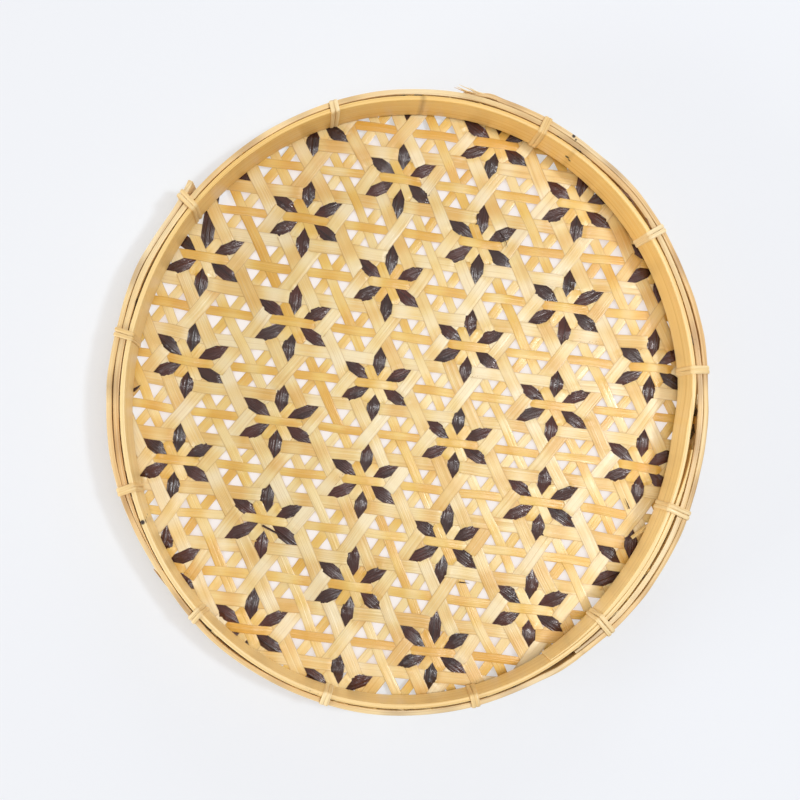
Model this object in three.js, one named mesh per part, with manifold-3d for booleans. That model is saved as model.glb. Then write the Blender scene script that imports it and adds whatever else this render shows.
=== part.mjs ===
// A round woven bamboo wall plate. Its floor is a three-way (kagome) weave of base strips with narrow inlay
// strips and dark flower strips, clamped between an inner hoop and an outer hoop of two lapped splints.
// Twelve two-turn bindings tie the hoops together.
// Millimetres. The back lies on z = 0, +Z leaves the open side, and the outline's middle is on the z axis.

import * as THREE from "three";
import { mergeVertices } from "three/addons/utils/BufferGeometryUtils.js";
import Module from "manifold-3d";

const wasm = await Module();
wasm.setup();

// Rim, an oval measured over the outer hoop. Angles are in degrees, counter-clockwise from +X
const RIM_WIDTH = 300;
const RIM_LENGTH = 319;
const RIM_TURN = 80;
const RIM_CLEARANCE = 0.3;
const RIM_STEP = 6;

// Inner hoop, one band whose ends lap
const INNER_HOOP_THICKNESS = 2.2;
const INNER_HOOP_HEIGHT = 25;
const INNER_HOOP_START = 297.6;
const INNER_HOOP_LAP = 52;

// Outer hoop: splint B lies against the weave, and splint A runs over both of B's ends
const SPLINT_THICKNESS = 2.4;
const OUTER_HOOP_HEIGHT = 24;
const SPLINT_A_START = 139;
const SPLINT_A_SPAN = 299;
const SPLINT_B_START = 303;
const SPLINT_B_SPAN = 270;
const LAYER_CHANGE = 14;
const END_MARGIN = 2;

// Strip ends turned up between the hoops and trimmed below their top
const EDGE_THICKNESS = 1;
const EDGE_DROP = 2;

// Weave plan: where one flower lies, how far apart flowers are and which way the across strips run
const FLOWER_X = -18;
const FLOWER_Y = 9.6;
const FLOWER_PITCH = 54;
const WEAVE_TURN = -7.1;
const BASE_WIDTH = 6.4;
const INLAY_WIDTH = 4.6;
const PETAL_WIDTH = 5.8;
const SHORTEST_STRIP = 40;

// Weave build-up
const STRIP_THICKNESS = 0.35;
const LAYER_CLEARANCE = 0.1;
const PLAN_CLEARANCE = 0.3;

// Flower strips are slim where they run hidden, and each run folds back under the inner hoop
const HIDDEN_WIDTH = 1.8;
const FOLD_WIDTH = 3;

// Bindings: one flat strand wound round both hoops
const BINDING_ANGLES = [5.6, 34.2, 64.1, 105.1, 138.9, 167.8, 198.1, 225.3, 253.8, 281.6, 310.2, 337];
const BINDING_TURNS = 2;
const BINDING_CLEARANCE = 0.2;
const STRAND_WIDTH = 2.4;
const STRAND_THICKNESS = 0.7;
const STRAND_SPACING = 0.5;
const GAP_SAMPLES = 6;

// Layers of the weave, counted up from the falling base strips
const LAYER = {
  risingFlowerLow: -7,
  uprightFlowerLow: -6,
  fallingFlowerLow: -5,
  risingInlay: -4,
  fallingInlay: -3,
  acrossInlay: -2,
  acrossBaseUnder: -1,
  fallingBase: 0,
  risingBase: 1,
  risingFlowerHigh: 1,
  acrossBaseOver: 2,
  fallingFlowerHigh: 2,
  uprightFlowerHigh: 3,
  fallingInlayOver: 3,
};

const FULL_TURN = 360;
const QUARTER_TURN = 90;
const LATTICE_ANGLE = 60;
const SIN_LATTICE = Math.sin(THREE.MathUtils.degToRad(LATTICE_ANGLE));
const TAN_LATTICE = Math.tan(THREE.MathUtils.degToRad(LATTICE_ANGLE));
const SIN_PETAL = Math.cos(THREE.MathUtils.degToRad(LATTICE_ANGLE));
const TAN_PETAL = 1 / TAN_LATTICE;

// Sizes that follow from the driving ones
const STRIP_PITCH = FLOWER_PITCH / 2;
const ROW_PITCH = STRIP_PITCH * TAN_LATTICE;
const LAYER_PITCH = STRIP_THICKNESS + LAYER_CLEARANCE;
const LOWEST_LAYER = Math.min(...Object.values(LAYER));
const HIGHEST_LAYER = Math.max(...Object.values(LAYER));
const WEAVE_TOP = layerHeight(HIGHEST_LAYER) + STRIP_THICKNESS / 2;
const HOOP_BOTTOM = WEAVE_TOP + STRAND_THICKNESS + 2 * BINDING_CLEARANCE;
const INNER_HOOP_TOP = HOOP_BOTTOM + INNER_HOOP_HEIGHT;
const HOOP_TOP = HOOP_BOTTOM + Math.max(INNER_HOOP_HEIGHT, OUTER_HOOP_HEIGHT);
const FACET_DEPTH = (RIM_LENGTH / 2) * (1 - Math.cos(THREE.MathUtils.degToRad(RIM_STEP / 2)));
const SPLINT_INSET = SPLINT_THICKNESS + RIM_CLEARANCE;
const EDGE_INSET = SPLINT_INSET + SPLINT_THICKNESS + RIM_CLEARANCE;
const INNER_HOOP_INSET = EDGE_INSET + EDGE_THICKNESS + RIM_CLEARANCE;
const FLOOR_INSET = INNER_HOOP_INSET;
const RUN_INSET = FLOOR_INSET + FOLD_WIDTH;
const PETAL_INSET = RUN_INSET + FOLD_WIDTH + PETAL_WIDTH / 2 + PLAN_CLEARANCE;
const BINDING_WIDTH = (BINDING_TURNS + 1) * STRAND_WIDTH + BINDING_TURNS * STRAND_SPACING;

const FLOWER = new THREE.Vector2(FLOWER_X, FLOWER_Y);
const ACROSS = WEAVE_TURN;
const FALLING = WEAVE_TURN - LATTICE_ANGLE;
const RISING = WEAVE_TURN + LATTICE_ANGLE;

const bambooBase = new THREE.MeshStandardMaterial({ color: 0xdfc184, roughness: 0.55, metalness: 0 });
const bambooInlay = new THREE.MeshStandardMaterial({ color: 0xd9ae62, roughness: 0.5, metalness: 0 });
const bambooDark = new THREE.MeshStandardMaterial({ color: 0x3a2e2e, roughness: 0.4, metalness: 0 });
const bambooHoop = new THREE.MeshStandardMaterial({ color: 0xcfa258, roughness: 0.5, metalness: 0 });
const bambooSplint = new THREE.MeshStandardMaterial({ color: 0xcda76a, roughness: 0.6, metalness: 0 });
const rattan = new THREE.MeshStandardMaterial({ color: 0xdab473, roughness: 0.5, metalness: 0 });

// Height of a weave layer's middle above the back
function layerHeight(layer) {
  return (layer - LOWEST_LAYER) * LAYER_PITCH + STRIP_THICKNESS / 2;
}

function unitVector(angle) {
  return new THREE.Vector2(1, 0).rotateAround(new THREE.Vector2(), THREE.MathUtils.degToRad(angle));
}

// A point of the rim at an angle, set in from the outside of the outer hoop
function rimPoint(angle, inset) {
  const long = RIM_LENGTH / 2 - inset;
  const short = RIM_WIDTH / 2 - inset;
  const away = THREE.MathUtils.degToRad(angle - RIM_TURN);
  const along = Math.atan2(long * Math.sin(away), short * Math.cos(away));
  const point = new THREE.Vector2(long * Math.cos(along), short * Math.sin(along));
  return point.rotateAround(new THREE.Vector2(), THREE.MathUtils.degToRad(RIM_TURN));
}

// Where a straight line runs inside the rim's oval at an inset, or null where it misses the oval
function chord(foot, direction, inset) {
  const turnBack = (v) => v.clone().rotateAround(new THREE.Vector2(), THREE.MathUtils.degToRad(-RIM_TURN));
  const scale = new THREE.Vector2(RIM_LENGTH / 2 - inset, RIM_WIDTH / 2 - inset);
  const from = turnBack(foot).divide(scale);
  const step = turnBack(direction).divide(scale);
  const middle = -from.dot(step) / step.lengthSq();
  const rest = middle * middle - (from.lengthSq() - 1) / step.lengthSq();
  return rest > 0 ? [middle - Math.sqrt(rest), middle + Math.sqrt(rest)] : null;
}

// Closed solid through a row of sections, each a ring of corners
function sweptGeometry(sections) {
  const sides = sections[0].length;
  const last = (sections.length - 1) * sides;
  const index = [];
  for (let row = 0; row < last; row += sides) {
    for (let side = 0; side < sides; side++) {
      const here = row + side;
      const next = row + ((side + 1) % sides);
      index.push(here, next, next + sides, here, next + sides, here + sides);
    }
  }
  for (let side = 1; side + 1 < sides; side++) {
    index.push(0, side + 1, side, last, last + side, last + side + 1);
  }
  const geometry = new THREE.BufferGeometry().setFromPoints(sections.flat());
  geometry.setIndex(index);
  geometry.computeVertexNormals();
  return geometry;
}

// Four corners of a flat section, from its middle, its half width and its half thickness as vectors
function flatSection(middle, side, rise) {
  const corner = (sideways, upward) =>
    middle.clone().addScaledVector(side, sideways).addScaledVector(rise, upward);
  return [corner(-1, -1), corner(1, -1), corner(1, 1), corner(-1, 1)];
}

function solidOf(geometry) {
  const bare = new THREE.BufferGeometry().setAttribute("position", geometry.getAttribute("position"));
  bare.setIndex(geometry.index);
  const merged = mergeVertices(bare);
  const vertProperties = new Float32Array(merged.getAttribute("position").array);
  const triVerts = new Uint32Array(merged.index.array);
  return new wasm.Manifold(new wasm.Mesh({ numProp: 3, vertProperties, triVerts }));
}

function geometryOf(solid) {
  const { vertProperties, triVerts } = solid.getMesh();
  const geometry = new THREE.BufferGeometry();
  geometry.setAttribute("position", new THREE.BufferAttribute(vertProperties, 3));
  geometry.setIndex(new THREE.BufferAttribute(triVerts, 1));
  geometry.computeVertexNormals();
  return geometry;
}

function addMesh(group, name, geometry, material) {
  const mesh = new THREE.Mesh(geometry, material);
  mesh.name = name;
  group.add(mesh);
}

// Hoops

// How far an angle lies past a start, from 0 up to a full turn
function anglePast(start, angle) {
  return THREE.MathUtils.euclideanModulo(angle - start, FULL_TURN);
}

// A hoop's plan outline follows the rim at an inset that may change along it
function hoopGeometry(start, span, insetAt, thickness, height) {
  const steps = Math.ceil(span / RIM_STEP);
  const travels = Array.from({ length: steps + 1 }, (_, i) => (span * i) / steps);
  const outside = travels.map((travel) => rimPoint(start + travel, insetAt(travel)));
  const inside = travels.map((travel) => rimPoint(start + travel, insetAt(travel) + thickness));
  const outline = new THREE.Shape([...outside, ...inside.reverse()]);
  const geometry = new THREE.ExtrudeGeometry(outline, { depth: height, bevelEnabled: false });
  return geometry.translate(0, 0, HOOP_BOTTOM);
}

// The inner hoop starts inside its own far end and moves out once that end is passed
function innerHoopInset(travel) {
  const lapped = INNER_HOOP_INSET + INNER_HOOP_THICKNESS + RIM_CLEARANCE;
  const clear = INNER_HOOP_LAP + END_MARGIN;
  const moved = THREE.MathUtils.smoothstep(travel, clear, clear + LAYER_CHANGE);
  return THREE.MathUtils.lerp(lapped, INNER_HOOP_INSET, moved);
}

// Splint A lies outside splint B, and drops to B's layer between B's far end and B's start
function splintAInset(travel) {
  const dropFrom = anglePast(SPLINT_A_START, SPLINT_B_START + SPLINT_B_SPAN) + END_MARGIN;
  const riseTo = anglePast(SPLINT_A_START, SPLINT_B_START) - END_MARGIN;
  const dropped = THREE.MathUtils.smoothstep(travel, dropFrom, dropFrom + LAYER_CHANGE);
  const risen = THREE.MathUtils.smoothstep(travel, riseTo - LAYER_CHANGE, riseTo);
  return SPLINT_INSET * (dropped - risen);
}

function splintBInset() {
  return SPLINT_INSET;
}

// The trimmed edge is a thin wall between the hoops, open where the bindings pass under the hoops
function turnedUpEdgeGeometry() {
  const angles = Array.from({ length: FULL_TURN / RIM_STEP }, (_, i) => i * RIM_STEP);
  const outline = new THREE.Shape(angles.map((angle) => rimPoint(angle, EDGE_INSET)));
  outline.holes.push(new THREE.Path(angles.map((angle) => rimPoint(angle, EDGE_INSET + EDGE_THICKNESS))));
  const height = INNER_HOOP_TOP - EDGE_DROP;
  let solid = solidOf(new THREE.ExtrudeGeometry(outline, { depth: height, bevelEnabled: false }));
  const slotWidth = BINDING_WIDTH + 2 * RIM_CLEARANCE;
  const slotDepth = EDGE_THICKNESS + 2 * RIM_CLEARANCE;
  for (const angle of BINDING_ANGLES) {
    const slot = new THREE.BoxGeometry(slotDepth, slotWidth, HOOP_BOTTOM - WEAVE_TOP);
    const { tangent } = rimFrame(angle);
    const middle = rimPoint(angle, EDGE_INSET + EDGE_THICKNESS / 2);
    slot.rotateZ(tangent.angle() - THREE.MathUtils.degToRad(QUARTER_TURN));
    slot.translate(middle.x, middle.y, (HOOP_BOTTOM + WEAVE_TOP) / 2);
    solid = solid.subtract(solidOf(slot));
  }
  return geometryOf(solid);
}

function makeRim() {
  const rim = new THREE.Group();
  const innerSpan = FULL_TURN + INNER_HOOP_LAP;
  const inner = [INNER_HOOP_START, innerSpan, innerHoopInset, INNER_HOOP_THICKNESS, INNER_HOOP_HEIGHT];
  const splintA = [SPLINT_A_START, SPLINT_A_SPAN, splintAInset, SPLINT_THICKNESS, OUTER_HOOP_HEIGHT];
  const splintB = [SPLINT_B_START, SPLINT_B_SPAN, splintBInset, SPLINT_THICKNESS, OUTER_HOOP_HEIGHT];
  addMesh(rim, "inner_hoop", hoopGeometry(...inner), bambooHoop);
  addMesh(rim, "outer_hoop_splint_a", hoopGeometry(...splintA), bambooSplint);
  addMesh(rim, "outer_hoop_splint_b", hoopGeometry(...splintB), bambooSplint);
  addMesh(rim, "turned_up_edge", turnedUpEdgeGeometry(), bambooBase);
  return rim;
}

// Bindings

// Direction along the rim at an angle, counter-clockwise, and the angle that the binding's half width covers
function rimFrame(angle) {
  const tangent = rimPoint(angle + 1, 0).sub(rimPoint(angle - 1, 0));
  const halfAngle = BINDING_WIDTH / tangent.length();
  return { tangent: tangent.normalize(), halfAngle };
}

// Insets of the faces that a binding goes round: the outermost splint face and the innermost hoop face
function boundInsets(angle) {
  const { halfAngle } = rimFrame(angle);
  let outer = SPLINT_INSET;
  let inner = INNER_HOOP_INSET;
  for (const spot of [angle - halfAngle, angle, angle + halfAngle]) {
    const travelA = anglePast(SPLINT_A_START, spot);
    const travelInner = anglePast(INNER_HOOP_START, spot);
    if (travelA <= SPLINT_A_SPAN) outer = Math.min(outer, splintAInset(travelA));
    inner = Math.max(inner, innerHoopInset(travelInner));
  }
  return { outer, inner: inner + INNER_HOOP_THICKNESS };
}

// One turn round the hoops as insets and heights, from under them out, up, over, down and back, corners cut
function bindingTurn(angle) {
  const { outer, inner } = boundInsets(angle);
  const standOff = BINDING_CLEARANCE + STRAND_THICKNESS / 2;
  const cut = 2 * standOff - Math.SQRT2 * (STRAND_THICKNESS + BINDING_CLEARANCE) / 2;
  const out = outer - standOff;
  const back = inner + FACET_DEPTH + standOff;
  const low = HOOP_BOTTOM - standOff;
  const high = HOOP_TOP + standOff;
  return [
    [out + cut, low], [out, low + cut], [out, high - cut], [out + cut, high],
    [back - cut, high], [back, high - cut], [back, low + cut], [back - cut, low],
  ].map(([inset, height]) => new THREE.Vector2(inset, height));
}

// The strand's whole path as insets, heights and steps along the rim, which grow steadily
function bindingPath(angle) {
  const turn = bindingTurn(angle);
  const start = turn[0].clone().lerp(turn[turn.length - 1], 1 / 2);
  const flat = [start];
  for (let count = 0; count < BINDING_TURNS; count++) flat.push(...turn);
  flat.push(start);
  const travels = [0];
  for (let i = 1; i < flat.length; i++) travels.push(travels[i - 1] + flat[i].distanceTo(flat[i - 1]));
  const advance = BINDING_TURNS * (STRAND_WIDTH + STRAND_SPACING);
  const total = travels[travels.length - 1];
  const { tangent } = rimFrame(angle);
  return flat.map((spot, i) => {
    const sideways = advance * (travels[i] / total - 1 / 2);
    const point = rimPoint(angle, spot.x).addScaledVector(tangent, sideways);
    return new THREE.Vector3(point.x, point.y, spot.y);
  });
}

// Sections of the flat strand, square to its path and mitred where it turns
function strandSections(angle) {
  const path = bindingPath(angle);
  const { tangent } = rimFrame(angle);
  const side = new THREE.Vector3(tangent.x, tangent.y, 0);
  const riseOf = (from, to) => to.clone().sub(from).cross(side).normalize();
  return path.map((point, i) => {
    const rises = [];
    if (i > 0) rises.push(riseOf(path[i - 1], point));
    if (i + 1 < path.length) rises.push(riseOf(point, path[i + 1]));
    const rise = rises[0].clone().add(rises[rises.length - 1]).normalize();
    const mitre = STRAND_THICKNESS / 2 / rise.dot(rises[0]);
    return flatSection(point, side.clone().multiplyScalar(STRAND_WIDTH / 2), rise.multiplyScalar(mitre));
  });
}

// Least distance between neighbouring turns of a strand, measured between points along its four edges
function leastGap(sections) {
  const rings = [];
  for (let i = 0; i + 1 < sections.length; i++) {
    for (let sample = 0; sample < GAP_SAMPLES; sample++) {
      rings.push(sections[i].map((corner, k) => corner.clone().lerp(sections[i + 1][k], sample / GAP_SAMPLES)));
    }
  }
  const halfTurn = Math.floor(rings.length / BINDING_TURNS / 2);
  let least = Infinity;
  rings.forEach((early, i) => {
    for (const late of rings.slice(i + halfTurn).flat()) {
      least = Math.min(least, ...early.map((corner) => corner.distanceTo(late)));
    }
  });
  return least;
}

function makeBindings() {
  const bindings = new THREE.Group();
  const gaps = BINDING_ANGLES.map((angle, i) => {
    const sections = strandSections(angle);
    addMesh(bindings, `binding_${String(i + 1).padStart(2, "0")}`, sweptGeometry(sections), rattan);
    return leastGap(sections);
  });
  console.log(`Least gap between the turns of a binding: ${Math.min(...gaps).toFixed(2)} mm`);
  return bindings;
}

// Weave

// Straight strip lines of one direction that cross the floor, numbered from the flower
function stripLines(angle, spacing, shift, width, inset) {
  const direction = unitVector(angle);
  const normal = unitVector(angle + QUARTER_TURN);
  const farthest = Math.ceil(RIM_LENGTH / spacing);
  const lines = [];
  for (let row = -farthest; row <= farthest; row++) {
    const foot = FLOWER.clone().addScaledVector(normal, (row + shift) * spacing);
    const edges = [-1, 1].map((side) =>
      chord(foot.clone().addScaledVector(normal, (side * width) / 2), direction, inset));
    if (edges.includes(null)) continue;
    const start = Math.max(edges[0][0], edges[1][0]);
    const end = Math.min(edges[0][1], edges[1][1]);
    if (end - start >= SHORTEST_STRIP) lines.push({ row, foot, direction, normal, start, end });
  }
  return lines;
}

// A flat ribbon along a line through stations that give its place, half width and layer
function ribbonGeometry(line, stations) {
  const rise = new THREE.Vector3(0, 0, STRIP_THICKNESS / 2);
  const sections = stations.map(({ along, half, layer }) => {
    const plan = line.foot.clone().addScaledVector(line.direction, along);
    const middle = new THREE.Vector3(plan.x, plan.y, layerHeight(layer));
    const side = new THREE.Vector3(line.normal.x, line.normal.y, 0).multiplyScalar(half);
    return flatSection(middle, side, rise);
  });
  return sweptGeometry(sections);
}

function straightStrip(line, width, layer) {
  const half = width / 2;
  return ribbonGeometry(line, [{ along: line.start, half, layer }, { along: line.end, half, layer }]);
}

// Half the length that two crossing strips share, measured along one of them
function crossingReach(ownWidth, otherWidth) {
  return otherWidth / 2 / SIN_LATTICE + ownWidth / 2 / TAN_LATTICE;
}

// Places along a line where the base strips of another direction cross it
function baseCrossings(line, otherAngle, layer) {
  const otherNormal = unitVector(otherAngle + QUARTER_TURN);
  const offset = otherNormal.dot(line.foot.clone().sub(FLOWER));
  const slope = otherNormal.dot(line.direction);
  const farthest = Math.ceil(RIM_LENGTH / STRIP_PITCH);
  const crossings = [];
  for (let row = -farthest; row <= farthest; row++) {
    crossings.push({ along: ((row + 1 / 2) * STRIP_PITCH - offset) / slope, layer });
  }
  return crossings;
}

// An across base strip goes over each rising strip and under each falling one
function acrossBaseGeometry(line) {
  const reach = crossingReach(BASE_WIDTH, BASE_WIDTH) + PLAN_CLEARANCE;
  const half = BASE_WIDTH / 2;
  const over = baseCrossings(line, RISING, LAYER.acrossBaseOver);
  const under = baseCrossings(line, FALLING, LAYER.acrossBaseUnder);
  const met = [...over, ...under].sort((a, b) => a.along - b.along);
  const inside = met.filter(({ along }) => along > line.start - reach && along < line.end + reach);
  const flats = inside.flatMap(({ along, layer }) => [
    { along: along - reach, half, layer },
    { along: along + reach, half, layer },
  ]);
  const between = flats.filter(({ along }) => along > line.start && along < line.end);
  const first = { along: line.start, half, layer: inside[0].layer };
  const last = { along: line.end, half, layer: inside[inside.length - 1].layer };
  return ribbonGeometry(line, [first, ...between, last]);
}

// Stations that keep clear of the folds of every run, which lie along the edge of the floor
function fitsRun(line, stations) {
  const inside = chord(line.foot, line.direction, PETAL_INSET);
  return inside !== null && stations.every(({ along }) => along > inside[0] && along < inside[1]);
}

// A strip that stays in its low layer but for the excursions that fit between its folds
function wovenRunGeometry(line, half, layer, excursions) {
  const kept = excursions.filter((stations) => fitsRun(line, stations)).flat();
  kept.sort((a, b) => a.along - b.along);
  return ribbonGeometry(line, [{ along: line.start, half, layer }, ...kept, { along: line.end, half, layer }]);
}

// Places of the flowers, or of what repeats like them, along a line: neighbouring rows are half a step apart
function repeatsAlong(line, step, shift) {
  const farthest = Math.ceil(RIM_LENGTH / step);
  const rowShift = Math.abs(line.row % 2) / 2;
  return Array.from({ length: 2 * farthest + 1 }, (_, i) => (i - farthest + rowShift + shift) * step);
}

// A falling inlay strip comes up over the crossings that lie between two plain hexagons
function fallingInlayGeometry(line) {
  const half = INLAY_WIDTH / 2;
  const flat = crossingReach(INLAY_WIDTH, BASE_WIDTH) + PLAN_CLEARANCE;
  const centre = STRIP_PITCH / TAN_LATTICE;
  const low = centre - crossingReach(INLAY_WIDTH, INLAY_WIDTH) - PLAN_CLEARANCE;
  const excursions = repeatsAlong(line, 2 * ROW_PITCH, 1 / 2).map((middle) => [
    { along: middle - low, half, layer: LAYER.fallingInlay },
    { along: middle - flat, half, layer: LAYER.fallingInlayOver },
    { along: middle + flat, half, layer: LAYER.fallingInlayOver },
    { along: middle + low, half, layer: LAYER.fallingInlay },
  ]);
  return wovenRunGeometry(line, half, LAYER.fallingInlay, excursions);
}

// A petal shows where a flower strip comes up between the inlay strips, over one base strip and down again
function petalStations(flower, way, lowLayer, highLayer) {
  const slim = HIDDEN_WIDTH / 2;
  const inlayPoint = (INLAY_WIDTH / 2 + PLAN_CLEARANCE) / SIN_PETAL;
  const basePoint = STRIP_PITCH - (BASE_WIDTH / 2 + PLAN_CLEARANCE) / SIN_PETAL;
  const widest = ((basePoint - inlayPoint) / 2) * TAN_PETAL;
  const full = Math.min(PETAL_WIDTH / 2, widest);
  const overBase = BASE_WIDTH / 2 + PLAN_CLEARANCE;
  const nearSide = STRIP_PITCH / 2 - overBase;
  const farSide = STRIP_PITCH / 2 + overBase;
  const drop = (highLayer - lowLayer) * LAYER_PITCH;
  const petal = [
    { reach: inlayPoint + slim / TAN_PETAL, half: slim, layer: lowLayer },
    { reach: nearSide, half: Math.min(full, (nearSide - inlayPoint) * TAN_PETAL), layer: highLayer },
    { reach: basePoint - full / TAN_PETAL, half: full, layer: highLayer },
    { reach: farSide, half: slim, layer: highLayer },
    { reach: farSide + drop, half: slim, layer: lowLayer },
  ];
  return petal.map(({ reach, half, layer }) => ({ along: flower + way * reach, half, layer }));
}

function flowerStripGeometry(line, lowLayer, highLayer) {
  const flowers = repeatsAlong(line, FLOWER_PITCH, 0);
  const excursions = flowers.flatMap((flower) =>
    [-1, 1].map((way) => petalStations(flower, way, lowLayer, highLayer)));
  return wovenRunGeometry(line, HIDDEN_WIDTH / 2, lowLayer, excursions);
}

// A fold lies along the rim and joins the ends of two neighbouring strips of a run
function foldGeometry(from, to, layer) {
  const turn = THREE.MathUtils.radToDeg(from.angle());
  const way = anglePast(turn - FULL_TURN / 2, THREE.MathUtils.radToDeg(to.angle())) - FULL_TURN / 2;
  const steps = Math.ceil(Math.abs(way) / RIM_STEP);
  const angles = Array.from({ length: steps + 1 }, (_, i) => turn + (way * i) / steps);
  const outside = angles.map((angle) => rimPoint(angle, RUN_INSET));
  const inside = angles.map((angle) => rimPoint(angle, RUN_INSET + FOLD_WIDTH));
  const outline = new THREE.Shape([...outside, ...inside.reverse()]);
  const geometry = new THREE.ExtrudeGeometry(outline, { depth: STRIP_THICKNESS, bevelEnabled: false });
  return geometry.translate(0, 0, layerHeight(layer) - STRIP_THICKNESS / 2);
}

// Strips of one direction as a single run, folded back at alternate ends
function foldedRun(lines, layer, stripGeometry) {
  let solid = solidOf(stripGeometry(lines[0]));
  for (let i = 1; i < lines.length; i++) {
    const ends = [lines[i - 1], lines[i]].map(({ foot, direction, start, end }) =>
      foot.clone().addScaledVector(direction, i % 2 ? end : start));
    solid = solid.add(solidOf(stripGeometry(lines[i])));
    solid = solid.add(solidOf(foldGeometry(...ends, layer)));
  }
  return geometryOf(solid);
}

function makeBaseStrips() {
  const strips = new THREE.Group();
  const families = [
    ["across", ACROSS, acrossBaseGeometry],
    ["falling", FALLING, (line) => straightStrip(line, BASE_WIDTH, LAYER.fallingBase)],
    ["rising", RISING, (line) => straightStrip(line, BASE_WIDTH, LAYER.risingBase)],
  ];
  for (const [way, angle, stripGeometry] of families) {
    stripLines(angle, STRIP_PITCH, 1 / 2, BASE_WIDTH, FLOOR_INSET).forEach((line, i) => {
      addMesh(strips, `base_strip_${way}_${String(i + 1).padStart(2, "0")}`, stripGeometry(line), bambooBase);
    });
  }
  return strips;
}

function makeInlayRuns() {
  const runs = new THREE.Group();
  const straight = (layer) => (line) => straightStrip(line, INLAY_WIDTH, layer);
  const families = [
    ["across", ACROSS, LAYER.acrossInlay, straight(LAYER.acrossInlay)],
    ["falling", FALLING, LAYER.fallingInlay, fallingInlayGeometry],
    ["rising", RISING, LAYER.risingInlay, straight(LAYER.risingInlay)],
  ];
  for (const [way, angle, layer, stripGeometry] of families) {
    const lines = stripLines(angle, STRIP_PITCH, 0, INLAY_WIDTH, RUN_INSET);
    addMesh(runs, `inlay_strips_${way}`, foldedRun(lines, layer, stripGeometry), bambooInlay);
  }
  return runs;
}

function makeFlowerRuns() {
  const runs = new THREE.Group();
  const families = [
    ["upright", ACROSS, LAYER.uprightFlowerLow, LAYER.uprightFlowerHigh],
    ["falling", RISING, LAYER.fallingFlowerLow, LAYER.fallingFlowerHigh],
    ["rising", FALLING, LAYER.risingFlowerLow, LAYER.risingFlowerHigh],
  ];
  for (const [way, crossedAngle, low, high] of families) {
    const lines = stripLines(crossedAngle + QUARTER_TURN, ROW_PITCH, 0, PETAL_WIDTH, RUN_INSET);
    const run = foldedRun(lines, low, (line) => flowerStripGeometry(line, low, high));
    addMesh(runs, `flower_strips_${way}`, run, bambooDark);
  }
  return runs;
}

// The splints' laps leave the outline a little off the oval's middle, so the plate is centred on its outline
function centredPlate() {
  const pieces = new THREE.Group();
  pieces.add(makeRim(), makeBindings(), makeBaseStrips(), makeInlayRuns(), makeFlowerRuns());
  const middle = new THREE.Box3().setFromObject(pieces).getCenter(new THREE.Vector3());
  pieces.position.set(-middle.x, -middle.y, 0);
  return new THREE.Group().add(pieces);
}

export default centredPlate();
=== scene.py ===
import math
import bpy
import numpy as np
from mathutils import Matrix, Vector


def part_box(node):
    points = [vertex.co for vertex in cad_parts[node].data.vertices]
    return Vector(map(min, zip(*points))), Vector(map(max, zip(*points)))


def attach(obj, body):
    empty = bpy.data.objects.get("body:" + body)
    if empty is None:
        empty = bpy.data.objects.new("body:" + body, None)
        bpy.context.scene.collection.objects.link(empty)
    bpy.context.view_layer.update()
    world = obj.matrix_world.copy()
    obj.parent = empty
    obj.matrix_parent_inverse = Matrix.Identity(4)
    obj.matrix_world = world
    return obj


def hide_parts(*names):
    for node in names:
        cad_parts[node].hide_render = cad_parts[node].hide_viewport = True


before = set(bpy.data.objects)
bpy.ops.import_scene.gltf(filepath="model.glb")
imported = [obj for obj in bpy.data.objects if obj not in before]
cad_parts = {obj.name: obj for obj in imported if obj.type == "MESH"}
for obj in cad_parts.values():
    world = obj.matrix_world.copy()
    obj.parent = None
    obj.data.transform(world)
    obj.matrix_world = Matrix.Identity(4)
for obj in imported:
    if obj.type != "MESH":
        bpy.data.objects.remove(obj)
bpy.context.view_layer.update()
draw = np.random.default_rng(7)  # every chance value below comes from here
mm = 0.001
print("frame loaded,", len(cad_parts), "nodes")


# Small helpers

edgeAngles = {"bevelOver": 50, "smoothBelow": 38}  # degrees between faces
sliver = {"steps": 12, "thickness": 0.22, "narrowing": 0.9}
grainShift = 9000  # strips and bindings start up to this far (mm) into the grain


def deselectAll():
    bpy.ops.object.select_all(action="DESELECT")


def pick(piece):
    deselectAll()
    piece.select_set(True)
    bpy.context.view_layer.objects.active = piece


def smoothStep(value, low, high):
    share = np.clip((np.asarray(value, float) - low) / (high - low), 0, 1)
    return share * share * (3 - 2 * share)


def wave(reach, lengths):
    # a slow seeded wander, as a function of the place along a piece
    phases = draw.uniform(0, 2 * math.pi, len(lengths))
    shares = draw.uniform(0.5, 1, len(lengths))
    shares = reach * shares / shares.sum()

    def wander(place):
        place = np.asarray(place, float)
        parts = zip(shares, lengths, phases)
        return sum(share * np.sin(2 * math.pi * place / length + phase) for share, length, phase in parts)

    return wander


def unit(vectors):
    return vectors / np.linalg.norm(vectors, axis=-1, keepdims=True)


def spinMatrix(degrees):
    turn = math.radians(degrees)
    return np.array([[math.cos(turn), -math.sin(turn)], [math.sin(turn), math.cos(turn)]])


def bow(first, middle, last, share):
    # a curve from first to last that leans towards middle
    return (1 - share) ** 2 * first + 2 * share * (1 - share) * middle + share ** 2 * last


def lengthAlong(points):
    return np.concatenate([[0], np.cumsum(np.linalg.norm(np.diff(points, axis=0), axis=1))])


def raised(plan, height):
    return np.concatenate([plan, height[..., None]], -1)


def useModifier(piece, kind, **settings):
    modifier = piece.modifiers.new(kind.lower(), kind)
    for name, value in settings.items():
        setattr(modifier, name, value)
    pick(piece)
    bpy.ops.object.modifier_apply(modifier=modifier.name)


def readMesh(mesh):
    # vertex places (m), and the vertex at each face corner
    spots = np.empty(len(mesh.vertices) * 3, np.float32)
    mesh.vertices.foreach_get("co", spots)
    corners = np.empty(len(mesh.loops), np.int32)
    mesh.loops.foreach_get("vertex_index", corners)
    return spots.reshape(-1, 3), corners


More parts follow.
